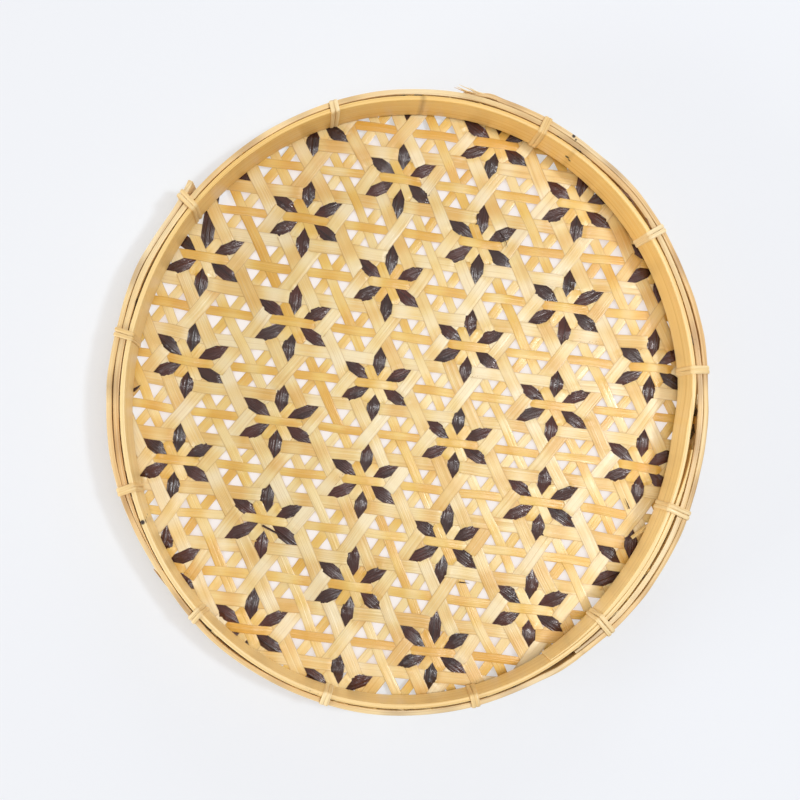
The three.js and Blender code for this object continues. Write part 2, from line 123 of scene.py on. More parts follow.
def addSheet(name, points, places, body=None, **tones):
    # a grid primitive bent to rows of points (mm); places are its UV map (mm along, mm across),
    # body gives each row's share of the full thickness, and tones become attributes
    rows, columns = points.shape[:2]
    deselectAll()
    bpy.ops.mesh.primitive_grid_add(x_subdivisions=rows - 1, y_subdivisions=columns - 1, size=1)
    sheet = bpy.context.object
    sheet.name = name
    mesh = sheet.data
    mesh.name = name
    spots, corners = readMesh(mesh)
    halfGrid = 0.5
    row = np.rint((spots[:, 0] + halfGrid) * (rows - 1)).astype(int)
    column = np.rint((spots[:, 1] + halfGrid) * (columns - 1)).astype(int)
    mesh.vertices.foreach_set("co", (points[row, column] * mm).astype(np.float32).ravel())
    flat = np.stack(np.broadcast_arrays(*places), -1)[row, column][corners] * mm
    mesh.uv_layers.active.data.foreach_set("uv", flat.astype(np.float32).ravel())
    for tone, values in tones.items():
        attribute = mesh.attributes.new(tone, "FLOAT", "POINT")
        values = np.broadcast_to(values, (rows, columns))[row, column]
        attribute.data.foreach_set("value", values.astype(np.float32))
    if body is not None:
        group = sheet.vertex_groups.new(name="body")
        for level in np.unique(body):
            group.add(np.flatnonzero(body[row] == level).tolist(), level, "REPLACE")
    mesh.update()
    return sheet


def thicken(piece, thickness, rounding=0, segments=2):
    useModifier(piece, "SOLIDIFY", thickness=thickness * mm, offset=0, use_even_offset=True, use_rim=True,
                vertex_group="body" if piece.vertex_groups else "")
    if rounding:
        useModifier(piece, "BEVEL", width=rounding * mm, segments=segments, limit_method="ANGLE",
                    angle_limit=math.radians(edgeAngles["bevelOver"]))


def makeSliver(name, spine, width, tone=0.0, mark=0.0, standing=False):
    # a split-off fibre curving along three points (mm), narrowing to its tip, lying flat or standing on edge
    first, middle, last = np.array(spine, float)
    share = np.linspace(0, 1, sliver["steps"])[:, None]
    path = bow(first, middle, last, share)
    up = np.array([0.0, 0, 1])
    side = unit(np.cross(np.gradient(path, axis=0), up))
    if standing:
        side = np.broadcast_to(up, path.shape)
    across = np.array([-1.0, 0, 1])
    half = width / 2 * (1 - sliver["narrowing"] * share ** 2) * across
    points = path[:, None, :] + half[..., None] * side[:, None, :]
    length = np.linalg.norm(last - first) * share
    piece = addSheet(name, points, (length, half), tone=tone, mark=mark)
    thicken(piece, sliver["thickness"])
    return piece


def unroll(band):
    # carries a hoop's UV map over its edges, so that fibres run along every face
    mesh = band.data
    spots, corners = readMesh(mesh)
    inset = rimPlace(spots[:, :2] / mm)[1]
    flat = np.empty(len(corners) * 2, np.float32)
    mesh.uv_layers.active.data.foreach_get("uv", flat)
    flat[1::2] += inset[corners] * mm
    mesh.uv_layers.active.data.foreach_set("uv", flat)


def joinPieces(name, pieces):
    pick(pieces[0])
    for piece in pieces[1:]:
        piece.select_set(True)
    bpy.ops.object.join()
    joined = bpy.context.object
    joined.name = name
    joined.data.name = name
    return joined


def finishPiece(piece, material, slot, *nodes):
    piece.data.materials.clear()
    piece.data.materials.append(material)
    pick(piece)
    bpy.ops.object.shade_smooth_by_angle(angle=math.radians(edgeAngles["smoothBelow"]))
    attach(piece, "root")
    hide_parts(*nodes)


# Rim oval, in millimetres, centred where the CAD's turned-up edge is

rim = {"width": 300, "length": 319, "turn": 80}
edgeLow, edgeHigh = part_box("turned_up_edge")
rimMiddle = np.array((edgeLow + edgeHigh) / 2)[:2] / mm
hoopLow, hoopHigh = (corner.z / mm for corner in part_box("inner_hoop"))
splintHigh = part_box("outer_hoop_splint_a")[1].z / mm


def rimPoint(angle, inset):
    # the plan point at an angle (degrees) about the rim's middle, an inset in from the outside
    away = np.radians(np.asarray(angle, float) - rim["turn"])
    longHalf = rim["length"] / 2 - inset
    shortHalf = rim["width"] / 2 - inset
    along = np.arctan2(longHalf * np.sin(away), shortHalf * np.cos(away))
    oval = np.stack([longHalf * np.cos(along), shortHalf * np.sin(along)], -1)
    return rimMiddle + oval @ spinMatrix(rim["turn"]).T


def rimPlace(plan):
    # angle of a plan point about the rim's middle, and how far in from the outside it lies
    away = plan - rimMiddle
    angle = np.degrees(np.arctan2(away[..., 1], away[..., 0]))
    edge = rimPoint(angle, 0) - rimMiddle
    return angle, np.linalg.norm(edge, axis=-1) - np.linalg.norm(away, axis=-1)


def chord(foot, direction, inset):
    # where a straight line runs inside the oval at an inset, or None
    spin = spinMatrix(-rim["turn"])
    size = np.array([rim["length"] / 2 - inset, rim["width"] / 2 - inset])
    start = spin @ (foot - rimMiddle) / size
    step = spin @ direction / size
    middle = -(start @ step) / (step @ step)
    rest = middle ** 2 - (start @ start - 1) / (step @ step)
    return (middle - math.sqrt(rest), middle + math.sqrt(rest)) if rest > 0 else None


# Materials

# layers of the grain: shares of the stretch along and of the fibre count across, and the noise's detail
grainLayers = {"Fibre": (1, 1, 4), "Streak": (0.5, 0.24, 2), "Blotch": (2.2, 0.035, 2),
               "Fleck": (100, 0.7, 1)}
noiseSpread = (0.28, 0.72)  # noise seldom leaves this range
# coats of colour, one over the other: what shows them, where they begin and where they show in full,
# and the finish's strength and colour for them
coats = (
    ("Blotch", 0.35, 1, "blotches", "warm"), ("tone", 0, 1, "toneReach", "warm"),
    ("tone", 0, -1, "toneReach", "light"), ("Fibre", 0.55, 1, "fibreDepth", "fibre"),
    ("Fibre", 0.42, 0, "paleFibres", "light"), ("Streak", 0.84, 0.98, "cracks", "mark"),
    ("flecks", 0.78, 0.95, "flecks", "mark"),
)
streakRelief = 0.6
spotLook = {"colour": "#2a1a10", "mmPerDegree": 2.65, "edge": (1.4, 0.5)}


def linearColour(hexText):
    # a screen colour as the shader's linear numbers
    parts = [int(hexText[i:i + 2], 16) / 255 for i in (1, 3, 5)]
    return tuple(p / 12.92 if p <= 0.04045 else ((p + 0.055) / 1.055) ** 2.4 for p in parts) + (1,)


def freshTree(owner):
    owner.use_nodes = True
    owner.node_tree.nodes.clear()
    return owner.node_tree


def addNode(tree, kind, inputs=None, **settings):
    node = tree.nodes.new(kind)
    for name, value in settings.items():
        setattr(node, name, value)
    for name, value in (inputs or {}).items():
        if isinstance(value, bpy.types.NodeSocket):
            tree.links.new(value, node.inputs[name])
        else:
            node.inputs[name].default_value = value
    return node


def blendColour(tree, factor, first, second):
    # sockets 6 and 7 are the two colours, and output 2 the blended one
    return addNode(tree, "ShaderNodeMix", {0: factor, 6: first, 7: second}, data_type="RGBA").outputs[2]


def spread(tree, value, low, high, toLow=0, toHigh=1):
    inputs = {"Value": value, "From Min": low, "From Max": high, "To Min": toLow, "To Max": toHigh}
    return addNode(tree, "ShaderNodeMapRange", inputs).outputs[0]


def reckon(tree, work, first, second=0):
    return addNode(tree, "ShaderNodeMath", {0: first, 1: second}, operation=work).outputs[0]


def readAttribute(tree, name):
    return addNode(tree, "ShaderNodeAttribute", attribute_name=name).outputs["Fac"]


def spotMask(tree, place, spots):
    # small dark spots on a hoop: angle, height plus inset on the unrolled map, and size (mm)
    turn = readAttribute(tree, "turn")
    height = addNode(tree, "ShaderNodeSeparateXYZ", {0: place}).outputs["Y"]
    mask = 0.0
    for at, level, size in spots:
        aside = reckon(tree, "SUBTRACT", turn, at)
        aside = reckon(tree, "MULTIPLY", aside, spotLook["mmPerDegree"] / size)
        above = reckon(tree, "MULTIPLY", reckon(tree, "SUBTRACT", height, level * mm), 1 / (size * mm))
        away = reckon(tree, "ADD", reckon(tree, "POWER", aside, 2), reckon(tree, "POWER", above, 2))
        mask = reckon(tree, "MAXIMUM", mask, spread(tree, away, *spotLook["edge"]))
    return mask


def makeGrainGroup():
    # long fibres, broader streaks, soft blotches and flecks, all running along a piece
    group = bpy.data.node_groups.new("bambooGrain", "ShaderNodeTree")
    for name, kind in (("Place", "Vector"), ("Fibres", "Float"), ("Stretch", "Float")):
        group.interface.new_socket(name, in_out="INPUT", socket_type="NodeSocket" + kind)
    for name in grainLayers:
        group.interface.new_socket(name, in_out="OUTPUT", socket_type="NodeSocketFloat")
    entry = addNode(group, "NodeGroupInput").outputs
    leave = addNode(group, "NodeGroupOutput")
    for name, (alongShare, acrossShare, detail) in grainLayers.items():
        along = reckon(group, "MULTIPLY", entry["Stretch"], alongShare)
        across = reckon(group, "MULTIPLY", entry["Fibres"], acrossShare)
        scale = addNode(group, "ShaderNodeCombineXYZ", {"X": along, "Y": across, "Z": 1}).outputs[0]
        place = addNode(group, "ShaderNodeVectorMath", {0: entry["Place"], 1: scale}, operation="MULTIPLY")
        inputs = {"Vector": place.outputs[0], "Scale": 1, "Detail": detail}
        noise = addNode(group, "ShaderNodeTexNoise", inputs).outputs[0]
        group.links.new(spread(group, noise, *noiseSpread), leave.inputs[name])
    return group


grainGroup = makeGrainGroup()


def bambooMaterial(name, look):
    # split bamboo: straw in pale and deep streaks, fine fibres, a tone for each strip, darker edges
    material = bpy.data.materials.new(name)
    tree = freshTree(material)
    place = addNode(tree, "ShaderNodeUVMap", uv_map="UVMap").outputs[0]
    inputs = {"Place": place, "Fibres": look["fibres"], "Stretch": look["stretch"]}
    values = dict(addNode(tree, "ShaderNodeGroup", inputs, node_tree=grainGroup).outputs.items())
    values["flecks"] = reckon(tree, "MULTIPLY", values["Fleck"], values["Blotch"])
    values["tone"] = readAttribute(tree, "tone")
    colour = blendColour(tree, values["Streak"], linearColour(look["pale"]), linearColour(look["deep"]))
    for shown, low, high, strength, coat in coats:
        mask = spread(tree, values[shown], low, high, 0, look[strength])
        colour = blendColour(tree, mask, colour, linearColour(look[coat]))
    # this attribute's darkening: node rings and other real marks, and painted shade along the strips' edges
    # and on the fibres lying in the hoop gap
    colour = blendColour(tree, readAttribute(tree, "mark"), colour, linearColour(look["mark"]))
    if "spots" in look:
        mask = spotMask(tree, place, look["spots"])
        colour = blendColour(tree, mask, colour, linearColour(spotLook["colour"]))
    rough = spread(tree, values["Fibre"], 0, 1, *look["rough"])
    streaks = reckon(tree, "MULTIPLY", values["Streak"], streakRelief)
    height = reckon(tree, "ADD", values["Fibre"], streaks)
    inputs = {"Height": height, "Strength": look["bump"], "Distance": look["relief"] * mm}
    normal = addNode(tree, "ShaderNodeBump", inputs).outputs[0]
    inputs = {"Base Color": colour, "Roughness": rough, "Normal": normal,
              "Specular IOR Level": look["specular"]}
    surface = addNode(tree, "ShaderNodeBsdfPrincipled", inputs).outputs[0]
    if look["glow"]:  # thin strips let some light through
        through = addNode(tree, "ShaderNodeBsdfTranslucent", {"Color": colour, "Normal": normal}).outputs[0]
        surface = addNode(tree, "ShaderNodeMixShader", {0: look["glow"], 1: surface, 2: through}).outputs[0]
    addNode(tree, "ShaderNodeOutputMaterial", {"Surface": surface})
    return material


plainFinish = {  # what a finish below doesn't say for itself
    "mark": "#a06a2c", "blotches": 0.35, "toneReach": 0.6, "cracks": 0.3, "fibreDepth": 0.4,
    "paleFibres": 0.35, "flecks": 0.6, "bump": 0.7, "relief": 0.1, "specular": 0.5, "glow": 0,
}
finishes = {
    "base": {
        "pale": "#f8e0a0", "deep": "#f0cf86", "warm": "#e2aa48", "light": "#fdf0cf", "fibre": "#c08e48",
        "fibres": 1700, "stretch": 12, "toneReach": 0.65, "cracks": 0.06, "fibreDepth": 0.3,
        "paleFibres": 0.4, "flecks": 0.8, "rough": (0.2, 0.48), "glow": 0.1},
    "inlay": {
        "pale": "#f6d37a", "deep": "#efc35e", "warm": "#e3a434", "light": "#fbe9b6", "fibre": "#bb853a",
        "mark": "#a06a28", "fibres": 1800, "stretch": 12, "cracks": 0.05, "fibreDepth": 0.25,
        "rough": (0.16, 0.4), "glow": 0.1},
    "dark": {
        "pale": "#4a2e25", "deep": "#2d1b17", "warm": "#5c2c22", "light": "#403330", "fibre": "#150c0a",
        "mark": "#4b3428", "fibres": 950, "stretch": 8, "blotches": 0.5, "toneReach": 0.5, "cracks": 0,
        "fibreDepth": 0.7, "paleFibres": 0.3, "flecks": 0, "rough": (0.1, 0.28), "bump": 1.0, "relief": 0.3,
        "specular": 0.4},
    "hoop": {
        "pale": "#f8d58e", "deep": "#efc26c", "warm": "#e0a548", "light": "#fbe8b8", "fibre": "#c0903f",
        "mark": "#6b4422", "fibres": 1100, "stretch": 5, "toneReach": 0.7, "flecks": 0.3,
        "rough": (0.3, 0.48), "bump": 0.4,
        "spots": ((417.2, 28.8, 1.3), (416.5, 26.8, 0.9), (565, 37.6, 1.2), (564.3, 32, 0.6),
                  (563.8, 26.5, 0.6))},
    "splint": {
        "pale": "#f6dca6", "deep": "#e7bf7c", "warm": "#d8a05c", "light": "#fbedcb", "fibre": "#a5743c",
        "mark": "#7d4f30", "fibres": 1200, "stretch": 6, "blotches": 0.5, "cracks": 0.6, "fibreDepth": 0.5,
        "paleFibres": 0.4, "rough": (0.36, 0.56), "bump": 0.6, "relief": 0.14, "specular": 0.45,
        "spots": ((418.4, 30.3, 0.9), (417.7, 31.2, 0.5))},
    "rattan": {
        "pale": "#f6dca6", "deep": "#eac582", "warm": "#dfb068", "light": "#fbecc8", "fibre": "#b98646",
        "fibres": 2000, "stretch": 30, "toneReach": 0.5, "paleFibres": 0.3, "flecks": 0.1,
        "rough": (0.36, 0.52), "bump": 0.5, "relief": 0.06},
}
materials = {name: bambooMaterial(name + "Bamboo", plainFinish | look) for name, look in finishes.items()}
print("materials made")


# Weave: where each strip runs

weave = {
    "flower": (-18.35, 9.62),  # one flower's middle
    "stepDown": (44.1, -32.3),  # to the next flower down and right
    "stepBelow": (-6.7, -52.9),  # to the next flower below
    "width": {"base": {"across": 6.4, "falling": 6.8, "rising": 6.6},
              "inlay": {"across": 4.6, "falling": 5.0, "rising": 4.8},
              "flower": {"upright": 6.4, "falling": 6.4, "rising": 6.4}},
    "widthSpread": 0.05,
    "thickness": {"base": 0.2, "inlay": 0.18, "flower": 0.2},
    "drift": 0.35, "turn": 0.3,  # how far a strip lies out of true (mm, degrees)
    "sway": (0.35, (90, 47, 28)), "swell": (0.05, (70, 33, 17)),
    "tone": {"base": (0, 0.5), "inlay": (-0.3, 0.4), "flower": (0, 0.5)},
    "acrossInlayTone": 0.8,  # these are browner
    "bend": 1.2,  # radius where strips turn up
    "wall": 6.05,  # inset of the turned-up ends, between the hoops
    "rise": (19, 24),  # how high the ends stand
    "longestEnd": 42,
    "shortest": {"inlay": 40, "flower": 34},
    "tried": 8,  # places tried for inlay and flower strips, to each side of the middle
}
flower = np.array(weave["flower"])
toPlan = np.array([weave["stepDown"], weave["stepBelow"]]).T
toSteps = np.linalg.inv(toPlan)
bendStart = weave["wall"] + weave["bend"]
bendLength = weave["bend"] * math.pi / 2

# each way's direction in flower steps, and the count that stays the same along it
stripWays = {"across": ((2, -1), (1, 2)), "falling": ((1, 1), (1, -1)), "rising": ((1, -2), (2, 1))}
flowerWays = {"upright": ((0, -1), (1, 0)), "falling": ((1, 0), (0, 1)), "rising": ((1, -1), (1, 1))}


def stripCount(plan, way):
    return toSteps @ (np.asarray(plan) - flower) @ np.array(way[1])


def latticeLine(way, count):
    # the line that a count stands for: a point on it and its direction
    steady = np.array(way[1], float)
    spot = toSteps @ (rimMiddle - flower)
    spot = spot + (count - spot @ steady) * steady / (steady @ steady)
    return flower + toPlan @ spot, unit(toPlan @ np.array(way[0], float))


def layStrip(kind, wayName, way, count):
    # a straight line through the lattice, a little out of true, with its ends past the bend
    foot, direction = latticeLine(way, count)
    foot = foot + ((rimMiddle - foot) @ direction) * direction
    direction = spinMatrix(draw.uniform(-weave["turn"], weave["turn"])) @ direction
    side = np.array([-direction[1], direction[0]])
    foot = foot + side * draw.uniform(-weave["drift"], weave["drift"])
    ends = chord(foot, direction, bendStart)
    rises = draw.uniform(*weave["rise"], 2)
    far = [chord(foot, direction, bendStart - bendLength - rise) for rise in rises]
    reach = weave["longestEnd"]
    width = weave["width"][kind][wayName] * (1 + draw.uniform(-weave["widthSpread"], weave["widthSpread"]))
    sway, swell = wave(*weave["sway"]), wave(*weave["swell"])
    tone = draw.normal(*weave["tone"][kind])
    if (kind, wayName) == ("inlay", "across"):
        tone += weave["acrossInlayTone"]
    return {
        "kind": kind, "way": wayName, "foot": foot, "direction": direction, "side": side, "ends": ends,
        "start": max(far[0][0], ends[0] - reach), "stop": min(far[1][1], ends[1] + reach),
        "width": width, "sway": sway, "swell": swell, "tone": tone,
    }


def halfWidth(strip, along):
    return strip["width"] / 2 * (1 + strip["swell"](along))


def stripPlan(strip, along, across):
    # plan points of a strip, from places along it (mm) and across it (-1 to 1)
    offset = strip["sway"](along)[:, None] + across[None, :] * halfWidth(strip, along)[:, None]
    middle = strip["foot"] + along[:, None] * strip["direction"]
    return middle[:, None, :] + offset[..., None] * strip["side"]


def layWeave():
    strips = []
    for wayName, way in stripWays.items():
        nodes = sorted(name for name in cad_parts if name.startswith("base_strip_" + wayName))
        for node in nodes:
            low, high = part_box(node)
            count = math.floor(stripCount(np.array((low + high) / 2)[:2] / mm, way)) + 0.5
            strips.append(layStrip("base", wayName, way, count))
            strips[-1]["node"] = node
    for kind, ways in (("inlay", stripWays), ("flower", flowerWays)):
        for wayName, way in ways.items():
            middle = round(stripCount(rimMiddle, way))
            for count in range(middle - weave["tried"], middle + weave["tried"] + 1):
                ends = chord(*latticeLine(way, count), bendStart)
                if ends and ends[1] - ends[0] > weave["shortest"][kind]:
                    strips.append(layStrip(kind, wayName, way, count))
    return strips


strips = layWeave()
print("strips laid:", len(strips))


# Weave: which strip lies over which, and the heights that follow

liesOnBase = {  # for each kind and way, the way of the base strips beneath it
    "base": {"across": "rising", "rising": "falling", "falling": "across"},
    "flower": {"upright": "across", "falling": "rising", "rising": "falling"},
}
# the ways of crossing strips of one kind, lowest first
upwards = {"inlay": ("rising", "falling", "across"), "flower": ("rising", "falling", "upright")}
settling = {
    "grid": 1.5, "columns": 5,  # spacing along a strip (mm), points across it
    "stiffness": {"base": 80, "inlay": 50, "flower": 10},
    "flatness": {"base": 0.6, "inlay": 0.6, "flower": 0.25},  # how far each round straightens a strip across
    "startLevel": {"base": 0, "inlay": -0.7, "flower": -1.2},
    "pull": 0.004,  # towards the weave's level
    "gap": 0.02,
    "pastBend": 8, "margin": 12,  # how far past the bend a strip's grid runs, and crossings are looked for
    "leastTurn": 0.2,  # flatter crossings don't count
    "reach": 26,  # how far from a crossing two strips can touch
    "halfway": 0.1,  # how near the point halfway between flowers a falling inlay comes to the top
    "rounds": 220, "passes": 3, "lastPasses": 40, "push": 1.4,
    "foot": 0.15,  # the weave's lowest point above the back
    "underHoop": 0.25,  # room left between the weave's top and the inner hoop
}
acrossSpots = np.linspace(-1, 1, settling["columns"])


def liesOver(one, other, crossing):
    kind, way = one["kind"], one["way"]
    if other["kind"] == "base" and kind in liesOnBase:
        return liesOnBase[kind][way] == other["way"]
    if other["kind"] == kind:
        return upwards[kind].index(way) > upwards[kind].index(other["way"])
    if (kind, other["kind"]) == ("flower", "inlay"):
        return False
    if (kind, other["kind"]) == ("inlay", "base"):
        between = (toSteps @ (crossing - flower))[0] % 1
        return way == "falling" and abs(between - 0.5) < settling["halfway"]
    return not liesOver(other, one, crossing)


def crossingOf(one, other):
    turn = np.stack([one["direction"], -other["direction"]], 1)
    if abs(np.linalg.det(turn)) < settling["leastTurn"]:
        return None
    places = np.linalg.solve(turn, other["foot"] - one["foot"])
    margin = settling["margin"]
    for strip, place in zip((one, other), places):
        if not strip["grid"][0] - margin < place < strip["grid"][-1] + margin:
            return None
    return one["foot"] + places[0] * one["direction"]


def contactRows(one, other, upper, crossing):
    # points of one strip that lie on another: the point, the four points round it there, and their shares
    perRow = settling["columns"]
    plan = one["plan"].reshape(-1, 2)
    along = (plan - other["foot"]) @ other["direction"]
    across = ((plan - other["foot"]) @ other["side"] - other["sway"](along)) / halfWidth(other, along)
    far = np.linalg.norm(plan - crossing, axis=1)
    rows = (along - other["grid"][0]) / settling["grid"]
    last = len(other["grid"]) - 1
    found = np.flatnonzero((abs(across) <= 1) & (rows >= 0) & (rows < last) & (far < settling["reach"]))
    row = np.floor(rows[found]).astype(int)
    rowShare = rows[found] - row
    columns = (across[found] + 1) / 2 * (perRow - 1)
    column = np.minimum(np.floor(columns).astype(int), perRow - 2)
    columnShare = columns - column
    corner = other["first"] + row * perRow + column
    four = np.stack([corner + step for step in (0, 1, perRow, perRow + 1)], 1)
    shares = [rowPart * columnPart for rowPart in (1 - rowShare, rowShare)
              for columnPart in (1 - columnShare, columnShare)]
    apart = (weave["thickness"][one["kind"]] + weave["thickness"][other["kind"]]) / 2 + settling["gap"]
    sign = np.full(len(found), 1.0 if upper else -1.0)
    return one["first"] + found, four, np.stack(shares, 1), sign, np.full(len(found), apart)


def gatherContacts():
    total = 0
    for strip in strips:
        ends = chord(strip["foot"], strip["direction"], bendStart - settling["pastBend"])
        steps = math.ceil((ends[1] - ends[0]) / settling["grid"])
        strip["grid"] = ends[0] + settling["grid"] * np.arange(steps + 1)
        strip["plan"] = stripPlan(strip, strip["grid"], acrossSpots)
        strip["first"] = total
        total += strip["grid"].size * settling["columns"]
    rows = []
    for i, one in enumerate(strips):
        for other in strips[i + 1:]:
            crossing = crossingOf(one, other)
            if crossing is None:
                continue
            upper = liesOver(one, other, crossing)
            rows.append(contactRows(one, other, upper, crossing))
            rows.append(contactRows(other, one, not upper, crossing))
    return total, [np.concatenate(part) for part in zip(*rows)]


def stiffMatrix(count, stiffness):
    # one step of bending a strip straight, with a weak pull to the weave's level
    second = np.zeros((count - 2, count))
    for i in range(count - 2):
        second[i, i:i + 3] = (1, -2, 1)
    return np.linalg.inv(np.eye(count) * (1 + settling["pull"]) + stiffness * second.T @ second)


def settleWeave():
    # gives each strip its heights; returns the weave's level, its top and its lift at the hoop
    total, (spots, four, shares, sign, apart) = gatherContacts()
    print("contacts:", len(spots))
    heights = np.zeros(total)
    columns = settling["columns"]
    for strip in strips:
        count = strip["grid"].size
        strip["part"] = slice(strip["first"], strip["first"] + count * columns)
        strip["straighten"] = stiffMatrix(count, settling["stiffness"][strip["kind"]])
        heights[strip["part"]] = settling["startLevel"][strip["kind"]]
    norm = 1 + (shares ** 2).sum(1)

    def roomBetween(heights):
        return sign * (heights[spots] - (shares * heights[four]).sum(1)) - apart

    def pressApart(heights, passes):
        for _ in range(passes):
            push = np.maximum(-roomBetween(heights), 0) / norm
            active = (push > 0).astype(float)
            moved = np.bincount(spots, sign * push, total)
            moved -= np.bincount(four.ravel(), (shares * (sign * push)[:, None]).ravel(), total)
            weight = np.bincount(spots, active, total)
            weight += np.bincount(four.ravel(), (shares * active[:, None]).ravel(), total)
            heights = heights + settling["push"] * moved / np.maximum(weight, 1)
        return heights

    for _ in range(settling["rounds"]):
        for strip in strips:
            sheet = strip["straighten"] @ heights[strip["part"]].reshape(-1, columns)
            level = sheet.mean(1, keepdims=True)
            slope = (sheet * acrossSpots).sum(1, keepdims=True) / (acrossSpots ** 2).sum()
            sheet += settling["flatness"][strip["kind"]] * (level + slope * acrossSpots - sheet)
            heights[strip["part"]] = sheet.ravel()
        heights = pressApart(heights, settling["passes"])
    heights = pressApart(heights, settling["lastPasses"])
    low, top, overlap = heights.min(), heights.max(), -roomBetween(heights).min()
    print("weave settled: heights %.2f to %.2f, worst overlap %.3f" % (low, top, overlap))
    for strip in strips:
        strip["heights"] = heights[strip["part"]].reshape(-1, columns)
    level = settling["foot"] - (low - weave["thickness"]["base"] / 2)
    return level, top, hoopLow - settling["underHoop"] - level - top


weaveLevel, weaveTop, weaveLift = settleWeave()


# Weave: the strips themselves

stripShape = {
    "columns": (-1, -0.84, -0.45, 0, 0.45, 0.84, 1), "flowerColumns": 13,
    "steps": (2.2, 0.6, 1.25),  # along it: up the wall, near the bend, on the floor
    "bendReach": 7,  # how far the bend's steps run to each side
    "squeeze": 0.15,  # what is left of the weave's depth between the hoops
    "sag": (10, 44),  # the weave sags from the hoop to the back between these insets
    "sideSag": (1.7, 95),  # how the weave was pushed together: reach and spacing
    "downSag": (1.7, 95, 35),  # and the middle
    "pushed": (10, 45),  # from none of it at the first inset to all of it at the second
    "crown": {"base": 0.03, "inlay": 0.04, "flower": 0.28},
    "petals": (4.8, 20.2, 5.5),  # a petal's start and end from its flower's middle, its points' length
    "leastBare": 0.01,  # keeps the arch defined between petals
    "edgeDrop": (0.05, 0.8), "edgeDarkening": (0.42, 0.84),  # how much, and from where across; the darkening is partly the strips' browner edges, partly painted shade where one strip lies on another
    "toneWave": (1.15, (70, 33, 17)),
    "sliverLift": (0.1, 0.7, 0.4),
    "slivers": {  # split off a piece: three plan points, width
        "flower_strips_falling": (((-76, -64.5), (-68, -68.5), (-58.5, -74.5), 1.1),
                                  ((25.5, -94), (28, -94.2), (30.7, -94.6), 0.7)),
        "flower_strips_rising": (((47.9, 89.6), (50.6, 86), (51.5, 81.1), 0.7),
                                 ((-142, 4.4), (-140.3, 5.4), (-138.3, 7.2), 1.6)),
        "flower_strips_upright": (((114.8, -56.4), (113.7, -53.6), (112.4, -50.6), 0.6),),
        "base_strip_rising_01": (((115.5, -71.4), (119.5, -68.4), (124.8, -63.4), 1.9),
                                 ((118, -70.4), (121, -67.9), (125.5, -65.4), 0.9)),
    },
}


def alongPlaces(strip):
    # close steps at the bends, wider ones on the floor and up the wall
    wallStep, bendStep, floorStep = stripShape["steps"]
    near = stripShape["bendReach"]
    start, stop = strip["start"], strip["stop"]
    low, high = strip["ends"]
    parts = [np.arange(start, low - near, wallStep),
             np.arange(max(start, low - near), low + near, bendStep),
             np.arange(low + near, high - near, floorStep),
             np.arange(high - near, min(stop, high + near), bendStep),
             np.arange(high + near, stop, wallStep), [stop]]
    return np.unique(np.concatenate(parts))


def heightsAt(strip, along, across):
    # cubic along the strip, straight across it
    last = len(strip["grid"]) - 1
    justInside = 0.001
    rows = np.clip((along - strip["grid"][0]) / settling["grid"], 0, last - justInside)
    row = np.floor(rows).astype(int)
    share = (rows - row)[:, None]
    before, here, there, after = (strip["heights"][np.clip(row + k, 0, last)] for k in (-1, 0, 1, 2))
    sheet = here + 0.5 * share * (there - before + share * (
        2 * before - 5 * here + 4 * there - after + share * (3 * (here - there) + after - before)))
    return np.stack([np.interp(across, acrossSpots, line) for line in sheet])


def turnUp(plan, height):
    # bends the flat weave up between the hoops, where its depth is squeezed
    angle, inset = rimPlace(plan)
    past = bendStart - inset
    bend = np.clip(past / weave["bend"], 0, math.pi / 2)
    rise = np.maximum(past - bendLength, 0)
    depth = height * (1 - (1 - stripShape["squeeze"]) * bend / (math.pi / 2))
    outward = (weave["bend"] - depth) * np.sin(bend)
    turned = rimPoint(angle, bendStart - outward)
    place = np.where((past > 0)[..., None], turned, plan)
    near, far = stripShape["sag"]
    lift = weaveLift * smoothStep(inset, far, near)
    z = weaveLevel + lift + weave["bend"] * (1 - np.cos(bend)) + rise + depth * np.cos(bend)
    return raised(place, z)


def archOf(strip, along, across):
    # how a strip is arched; a flower strip only where it shows as a petal
    if strip["kind"] != "flower":
        return np.broadcast_to(1 - across ** 2, (len(along), len(across)))
    way = np.array(flowerWays[strip["way"]][0], float)
    steps = (strip["foot"] + along[:, None] * strip["direction"] - flower) @ toSteps.T @ way / (way @ way)
    spacing = np.linalg.norm(toPlan @ way)
    away = abs(steps - np.rint(steps)) * spacing
    start, stop, point = stripShape["petals"]
    bare = np.clip(np.minimum(away - start, stop - away) / point, stripShape["leastBare"], 1)[:, None]
    return np.sqrt(bare) * np.maximum(1 - (across / bare) ** 2, 0)


def pushed(plan):
    # the weave's uneven spacing
    sideways, sideSpan = stripShape["sideSag"]
    down, downSpan, downMiddle = stripShape["downSag"]
    inside = smoothStep(rimPlace(plan)[1], *stripShape["pushed"])
    moved = np.stack([-sideways * np.sin(math.pi * plan[..., 0] / sideSpan),
                      -down * np.cos(math.pi * (plan[..., 1] - downMiddle) / downSpan)], -1)
    return plan + moved * inside[..., None]


def makeStrip(strip, name):
    kind = strip["kind"]
    across = np.array(stripShape["columns"])
    if kind == "flower":
        across = np.linspace(-1, 1, stripShape["flowerColumns"])
    along = alongPlaces(strip)
    drop, dropFrom = stripShape["edgeDrop"]
    height = heightsAt(strip, along, across) + stripShape["crown"][kind] * archOf(strip, along, across)
    height = height - drop * smoothStep(abs(across), dropFrom, 1)
    points = turnUp(pushed(stripPlan(strip, along, across)), height)
    width = across[None, :] * halfWidth(strip, along)[:, None]
    shift = draw.uniform(0, grainShift)
    # edges darkened with the mark colour: partly the strips' browner edges, partly painted shade where
    # strips overlap
    darkest, darkFrom = stripShape["edgeDarkening"]
    edge = darkest * smoothStep(abs(across), darkFrom, 1)
    tone = strip["tone"] + wave(*stripShape["toneWave"])(along)
    places = (along[:, None] + shift, width)
    piece = addSheet(name, points, places, tone=tone[:, None], mark=edge[None, :])
    thicken(piece, weave["thickness"][kind])
    return piece


